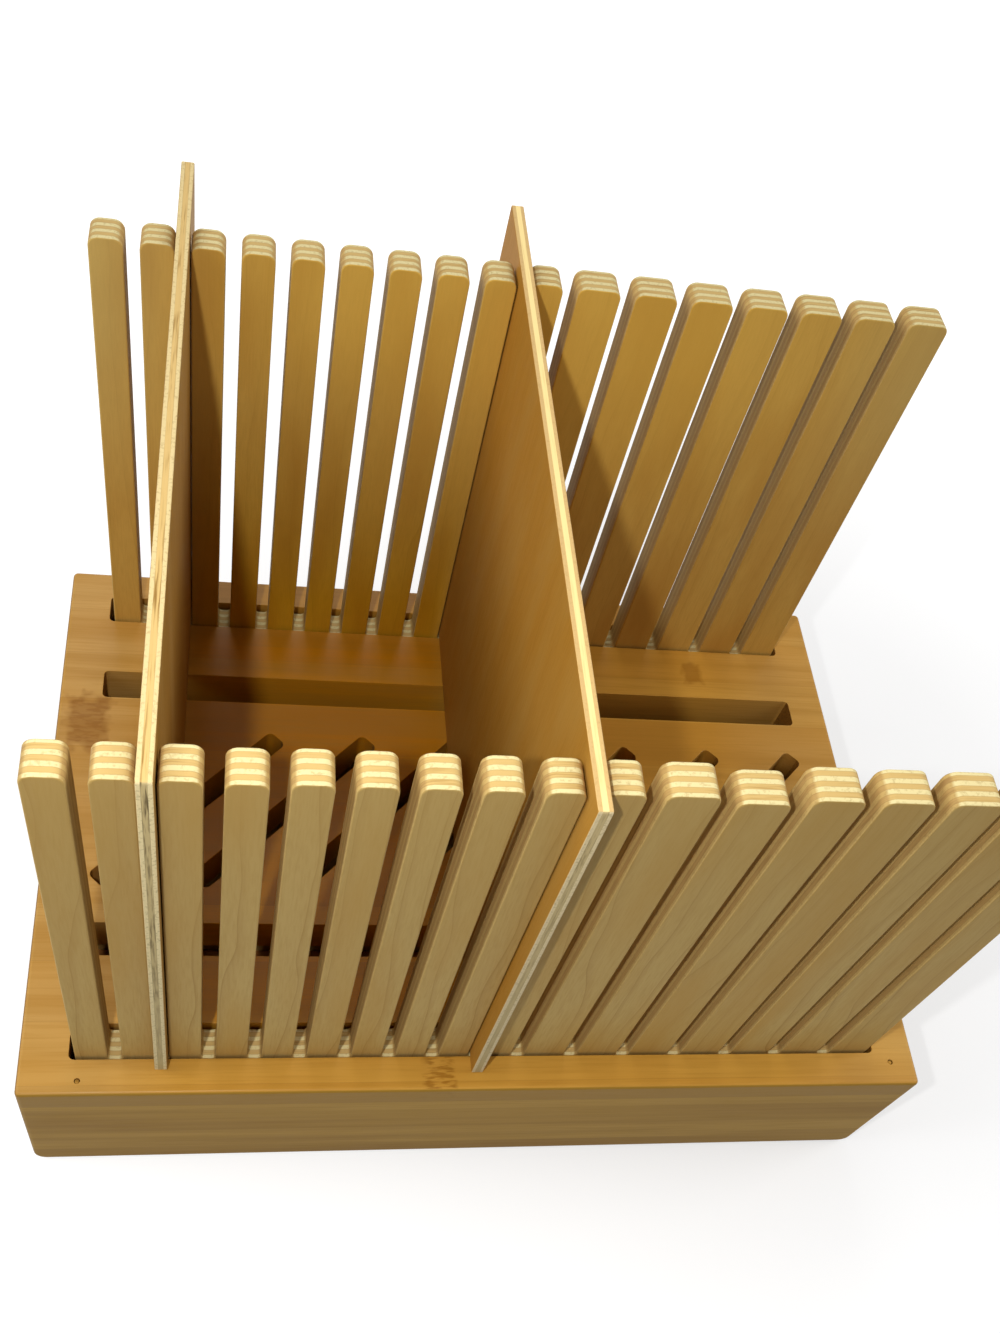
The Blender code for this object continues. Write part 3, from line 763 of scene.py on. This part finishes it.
def plywood(
    name,
    seams,
    thickness,
    front,
    veneer,
    top,
    side,
    rings,
    seed,
    lean=0,
    along_x=False,
    # paints shade near the deck and light at the tips
    oiled=False,
    tip_shade=False,
):
    """Birch plywood as a solid: peeled face veneers, and plies of crossed grain on the sawn edges.

    To the eye: the faces have upright pores and wavy growth lines, the tops pale and tan stripes,
    and the sides duller ones. The depth runs from the front face, along X or else along Y. A board
    can take painted shade, darker and warmer near the deck, with painted light at its tips, or
    painted shade that dulls its tips.
    """
    face, figure, stain = (linear(tone) for tone in veneer)
    material, tree, shader = new_material(name)
    place = millimetres(tree, front, (lean, 0, math.pi / 2 if along_x else 0))
    axes = add_node(tree, "SeparateXYZ", {0: place}, out=None)
    depth = add_node(tree, "Math", {0: axes[1], 1: thickness * 1000}, operation="DIVIDE")
    stops = [(seam, (index + 1) % 2) for index, seam in enumerate((0, *seams))]
    crossed = add_node(tree, "ValToRGB", {0: depth}, stops=[(at, 1 - value) for at, value in stops])
    crossed.node.color_ramp.interpolation = "CONSTANT"
    glue = [(seam + width, value) for seam in seams for width, value in ((-0.014, 0), (0, 1), (0.014, 0))]
    glued = add_node(tree, "ValToRGB", {0: depth}, stops=glue)

    own = add_node(tree, "VectorMath", {0: place, 1: (seed, seed, seed)}, operation="ADD")
    pores = grain(tree, own, (2.2, 2.2, 0.16), 3.0)
    specks = grain(tree, own, (1.3, 1.3, 1.3), 2.0)
    across = grain(tree, own, (0.1, 2.2, 0.15), 2.0)
    patches = grain(tree, own, (0.06, 0.06, 0.06), 1.0)
    drift = grain(tree, own, (0.02, 0.02, 0.0045), 3.0)
    clouds = grain(tree, own, (0.06, 0.05, 0.012), 2.0)

    # Growth lines: contours that run up the board and wander with a slow noise.
    lines = add_node(tree, "Math", {0: axes[0], 1: 0.13, 2: seed}, operation="MULTIPLY_ADD")
    lines = add_node(tree, "Math", {0: drift, 1: 5.0, 2: lines}, operation="MULTIPLY_ADD")
    lines = add_node(tree, "Math", {0: lines}, operation="FRACT")
    lines = add_node(tree, "ValToRGB", {0: lines}, stops=[(0, 1), (0.05, 0.4), (0.3, 0), (0.96, 0.1)])
    share = add_node(tree, "Math", {0: lines, 1: rings}, operation="MULTIPLY")
    color = add_node(tree, "Mix", {0: share, 6: face, 7: figure}, out=2, data_type="RGBA")
    share = add_node(tree, "MapRange", {"Value": pores, "From Min": 0.42, "From Max": 0.72, "To Max": 0.25})
    color = add_node(tree, "Mix", {0: share, 6: color, 7: figure}, out=2, data_type="RGBA")
    share = add_node(tree, "MapRange", {"Value": clouds, "From Min": 0.42, "From Max": 0.68, "To Max": 0.75})
    color = add_node(tree, "Mix", {0: share, 6: color, 7: stain}, out=2, data_type="RGBA")
    if oiled:
        # Painted shade: darker and warmer near the deck, on the board's front half, between the dividers.
        begin, full = FOOT_SHADE
        foot = add_node(tree, "MapRange", {"Value": axes[2], "From Min": begin, "From Max": full})
        inner = add_node(tree, "Math", {0: depth, 1: 0.5}, operation="LESS_THAN")
        foot = add_node(tree, "Math", {0: foot, 1: inner}, operation="MULTIPLY")
        color = shaded_middle(tree, axes, color, foot, COMB_FOOT_SHADE)
        # Painted light: the tips are lighter, warm in the middle and pale towards the ends.
        begin, full = LIT_BACK_TIPS
        tip = add_node(tree, "MapRange", {"Value": axes[2], "From Min": begin, "From Max": full})
        off = add_node(tree, "Math", {0: axes[0]}, operation="ABSOLUTE")
        for (begin, full), most, tone in (
            (WARM_FINGERS, 0.45, WARM_TIP_LIGHT),
            (PALE_FINGERS, 0.5, PALE_TIP_LIGHT),
        ):
            share = add_node(
                tree, "MapRange", {"Value": off, "From Min": begin, "From Max": full, "To Max": most}
            )
            share = add_node(tree, "Math", {0: tip, 1: share}, operation="MULTIPLY")
            color = add_node(tree, "Mix", {0: share, 6: color, 7: linear(tone)}, out=2, data_type="RGBA")
    if tip_shade:
        # Painted shade: the tips are duller and darker.
        begin, full = TIP_SHADE_HEIGHTS
        tip = add_node(
            tree, "MapRange", {"Value": axes[2], "From Min": begin, "From Max": full, "To Max": 0.5}
        )
        color = add_node(tree, "Mix", {0: tip, 6: color, 7: linear(TIP_SHADE_TONE)}, out=2, data_type="RGBA")

    # Sawn edges: tones for the tops and for the sides, flecked in patches and more so higher up.
    sides = (0, 1, 0) if along_x else (1, 0, 0)
    for tones, direction, patchy, climb in ((top, (0, 0, 1), 1.0, 0.1), (side, sides, 0.35, 0.8)):
        long, cross, line, flecks = tones
        fleck = add_node(
            tree, "MapRange", {"Value": across, "From Min": 0.45, "From Max": 0.65, "To Max": flecks}
        )
        patch = add_node(
            tree, "MapRange", {"Value": patches, "From Min": 0.4, "From Max": 0.6, "To Max": patchy}
        )
        height = add_node(
            tree, "MapRange", {"Value": axes[2], "From Min": 60, "From Max": 200, "To Max": climb}
        )
        patch = add_node(tree, "Math", {0: patch, 1: height}, operation="ADD")
        fleck = add_node(tree, "Math", {0: fleck, 1: patch}, operation="MULTIPLY")
        cross_ply = add_node(
            tree, "Mix", {0: fleck, 6: linear(cross), 7: linear(line)}, out=2, data_type="RGBA"
        )
        fleck = add_node(
            tree, "MapRange", {"Value": specks, "From Min": 0.52, "From Max": 0.72, "To Max": 0.35}
        )
        long_ply = add_node(
            tree, "Mix", {0: fleck, 6: linear(long), 7: linear(line)}, out=2, data_type="RGBA"
        )
        sawn = add_node(tree, "Mix", {0: crossed, 6: long_ply, 7: cross_ply}, out=2, data_type="RGBA")
        share = add_node(tree, "Math", {0: glued, 1: 0.5}, operation="MULTIPLY")
        sawn = add_node(tree, "Mix", {0: share, 6: sawn, 7: linear(line)}, out=2, data_type="RGBA")
        share = facing(tree, direction)
        color = add_node(tree, "Mix", {0: share, 6: color, 7: sawn}, out=2, data_type="RGBA")
    finish(tree, shader, color, pores, (0.5, 0.66), 0.12, 0.12)
    return material


def brad_wire(name):
    """Steel brad wire, drawn and blued. To the eye: a small dull brown dot with a little rust."""
    material, tree, shader = new_material(name)
    spots = add_node(tree, "TexNoise", {"Vector": millimetres(tree), "Scale": 2.5, "Detail": 4.0})
    color = add_node(
        tree, "Mix", {0: spots, 6: linear("A8803C"), 7: linear("7A5620")}, out=2, data_type="RGBA"
    )
    tree.links.new(color, shader.inputs["Base Color"])
    shader.inputs["Metallic"].default_value = 1
    rough = add_node(tree, "MapRange", {"Value": spots, "To Min": 0.5, "To Max": 0.7})
    tree.links.new(rough, shader.inputs["Roughness"])
    return material


def finish_piece(piece, material, node, body):
    piece.data.materials.clear()
    piece.data.materials.append(material)
    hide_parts(node)
    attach(piece, body)


front_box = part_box("front_comb")
left_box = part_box("left_divider")
right_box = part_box("right_divider")
comb_thickness = front_box[1][1] - front_box[0][1]
divider_thickness = left_box[1][0] - left_box[0][0]
deck_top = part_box("deck_board")[1][2]
back_face_y = SLOT_YS[-1] - comb_thickness / 2 * math.cos(BACK_COMB_LEAN)

deck_bamboo = bamboo(
    "pressed bamboo, sanded and oiled", DECK_TONES, start=242.854, strip=18.5, deck=True
)
wall_bamboo = bamboo(
    "pressed bamboo wall, sanded",
    WALL_TONES,
    start=17.4,
    stacked=True,
    strip=15.5,
    streaks=0.6,
    shine=0.06,
)
end_bamboo = bamboo(
    "pressed bamboo end wall, sanded",
    WALL_TONES,
    start=31.2,
    turned=True,
    stacked=True,
    strip=15.5,
    shine=0.06,
)
inside_shaded_bamboo = bamboo("bamboo board, planed", INSIDE_SHADE_TONES, start=53.7, shine=0.06)
drawer_bamboo = bamboo("bamboo drawer board, planed and sanded", DRAWER_TONES, start=71.3, shine=0.06)
front_ply = plywood(
    "seven-ply birch, sawn and sanded",
    COMB_SEAMS,
    comb_thickness,
    front=(0, front_box[0][1], 0),
    veneer=COMB_VENEER,
    top=COMB_TOPS,
    side=COMB_SIDES,
    rings=0.7,
    seed=13.0,
    tip_shade=True,
)
back_ply = plywood(
    "seven-ply birch with painted warm bounce",
    COMB_SEAMS,
    comb_thickness,
    front=(0, back_face_y, deck_top),
    veneer=BOUNCE_WARMED_VENEER,
    top=BACK_COMB_TOPS,
    side=COMB_SIDES,
    rings=0.35,
    seed=55.0,
    lean=BACK_COMB_LEAN,
    # painted shade at the foot and painted light at the tips
    oiled=True,
)
left_ply = plywood(
    "three-ply birch, left divider",
    DIVIDER_SEAMS,
    divider_thickness,
    front=(left_box[0][0], 0, 0),
    veneer=LEFT_VENEER,
    top=LEFT_DIVIDER_TOP,
    side=LEFT_DIVIDER_FRONT,
    rings=0.25,
    seed=31.0,
    along_x=True,
)
right_ply = plywood(
    "three-ply birch, right divider",
    DIVIDER_SEAMS,
    divider_thickness,
    front=(right_box[0][0], 0, 0),
    veneer=RIGHT_VENEER,
    top=RIGHT_DIVIDER_TOP,
    side=RIGHT_DIVIDER_FRONT,
    rings=0.25,
    seed=77.0,
    along_x=True,
)
brad_steel = brad_wire("blued steel wire")

front_comb, back_comb = add_combs()
finish_piece(front_comb, front_ply, "front_comb", "front_comb_body")
finish_piece(back_comb, back_ply, "back_comb", "back_comb_body")
left_divider, right_divider = add_dividers()
finish_piece(left_divider, left_ply, "left_divider", "left_divider_body")
finish_piece(right_divider, right_ply, "right_divider", "right_divider_body")
finish_piece(add_deck(), deck_bamboo, "deck_board", "base")
front_wall = add_long_wall("front_wall_board", "front_wall", -1)
finish_piece(front_wall, wall_bamboo, "front_wall", "base")
back_wall = add_long_wall("back_wall_board", "back_wall", 1)
finish_piece(back_wall, wall_bamboo, "back_wall", "base")
left_end = add_end_wall("left_end_board", "left_end_wall", -1)
finish_piece(left_end, end_bamboo, "left_end_wall", "base")
finish_piece(add_opening_wall(), end_bamboo, "right_end_wall", "base")
finish_piece(add_drawer_front(), end_bamboo, "drawer_front", "crumb_drawer")
bottom = add_inside_board("bottom_board_eased", "bottom_board")
finish_piece(bottom, inside_shaded_bamboo, "bottom_board", "base")
for node in ("comb_guide_front", "comb_guide_back", "runner_front", "runner_back"):
    strip = add_inside_board(f"{node}_eased", node)
    finish_piece(strip, inside_shaded_bamboo, node, "base")
for node in ("drawer_inner_end", "drawer_side_front", "drawer_side_back", "drawer_floor"):
    board = add_inside_board(f"{node}_eased", node)
    finish_piece(board, drawer_bamboo, node, "crumb_drawer")
for side in ("left", "right"):
    node = f"deck_pin_{side}"
    finish_piece(add_pin(f"brad_{side}", node), brad_steel, node, "base")


def studio_glow(tree):
    """1 for what the camera, metal and glass see, and 0 for the light that falls on the object."""
    seen = add_node(tree, "LightPath", out=None)
    shown = add_node(tree, "Math", {0: seen["Is Camera Ray"], 1: seen["Is Glossy Ray"]}, operation="MAXIMUM")
    return add_node(tree, "Math", {0: shown, 1: seen["Is Transmission Ray"]}, operation="MAXIMUM")


def add_floor():
    """A pale sweep that stays white to the camera, with less glow near the object for its shadow."""
    deselect()
    bpy.ops.mesh.primitive_plane_add(size=6)
    floor = bpy.context.object
    floor.name = "studio_floor"
    material, tree, shader = new_material("matt white sweep")
    shader.inputs["Base Color"].default_value = linear("B8B8B8")
    shader.inputs["Roughness"].default_value = 0.9
    away = add_node(tree, "TexCoord", out="Object")
    away = add_node(tree, "VectorMath", {0: away, 1: (0.12, 0.03, 0)}, out="Value", operation="DISTANCE")
    away = add_node(
        tree, "MapRange", {"Value": away, "From Min": 0.12, "From Max": 0.5, "To Min": 0.48, "To Max": 0.85}
    )
    strength = add_node(tree, "Math", {0: studio_glow(tree), 1: away}, operation="MULTIPLY")
    glow = add_node(tree, "Emission", {"Color": (1, 1, 1, 1), "Strength": strength})
    both = add_node(tree, "AddShader", {0: shader.outputs[0], 1: glow})
    tree.links.new(both, tree.nodes["Material Output"].inputs["Surface"])
    floor.data.materials.append(material)


def add_world():
    world = bpy.data.worlds.new("studio")
    world.use_nodes = True
    bpy.context.scene.world = world
    tree = world.node_tree
    strength = add_node(tree, "MapRange", {"Value": studio_glow(tree), "To Min": 0.34, "To Max": 1.0})
    background = tree.nodes["Background"]
    background.inputs["Color"].default_value = (1, 1, 1, 1)
    tree.links.new(strength, background.inputs["Strength"])


def add_lamp(name, place, target, size, power):
    data = bpy.data.lights.new(name, "AREA")
    data.shape = "DISK"
    data.size = size
    data.energy = power
    lamp = bpy.data.objects.new(name, data)
    lamp.location = place
    lamp.rotation_mode = "QUATERNION"
    lamp.rotation_quaternion = (Vector(target) - Vector(place)).to_track_quat("-Z", "Y")
    bpy.context.scene.collection.objects.link(lamp)


def add_camera():
    """The photograph's view: from above the front left, with the base's front edge low in the picture."""
    data = bpy.data.cameras.new("camera")
    data.sensor_width = 36
    data.lens = 35.726
    data.shift_x = 0.01286
    data.shift_y = 0.08295
    data.clip_start = 0.01
    camera = bpy.data.objects.new("camera", data)
    camera.location = (-0.079768, -0.218175, 0.418277)
    right = Vector((0.98098, -0.076002, 0.178609)).normalized()
    back = Vector((-0.191453, -0.53048, 0.825794)).normalized()
    up = back.cross(right).normalized()
    camera.rotation_mode = "QUATERNION"
    camera.rotation_quaternion = Matrix((right, up, back)).transposed().to_quaternion()
    bpy.context.scene.collection.objects.link(camera)
    bpy.context.scene.camera = camera


add_floor()
add_world()
add_lamp("key lamp", (-0.125, -0.217, 0.42), target=(0, 0, 0.06), size=0.012, power=0.7)
add_lamp("left softbox", (-0.9, 0, 0.8), target=(0, 0, 0), size=0.6, power=5.0)
add_lamp("right softbox", (0.9, 0, 0.8), target=(0, 0, 0), size=0.6, power=4.8)
add_lamp("back softbox", (0, 0.75, 1.0), target=(0, 0, 0), size=0.6, power=2.5)
add_camera()
bpy.context.scene.view_settings.view_transform = "Standard"
deselect()
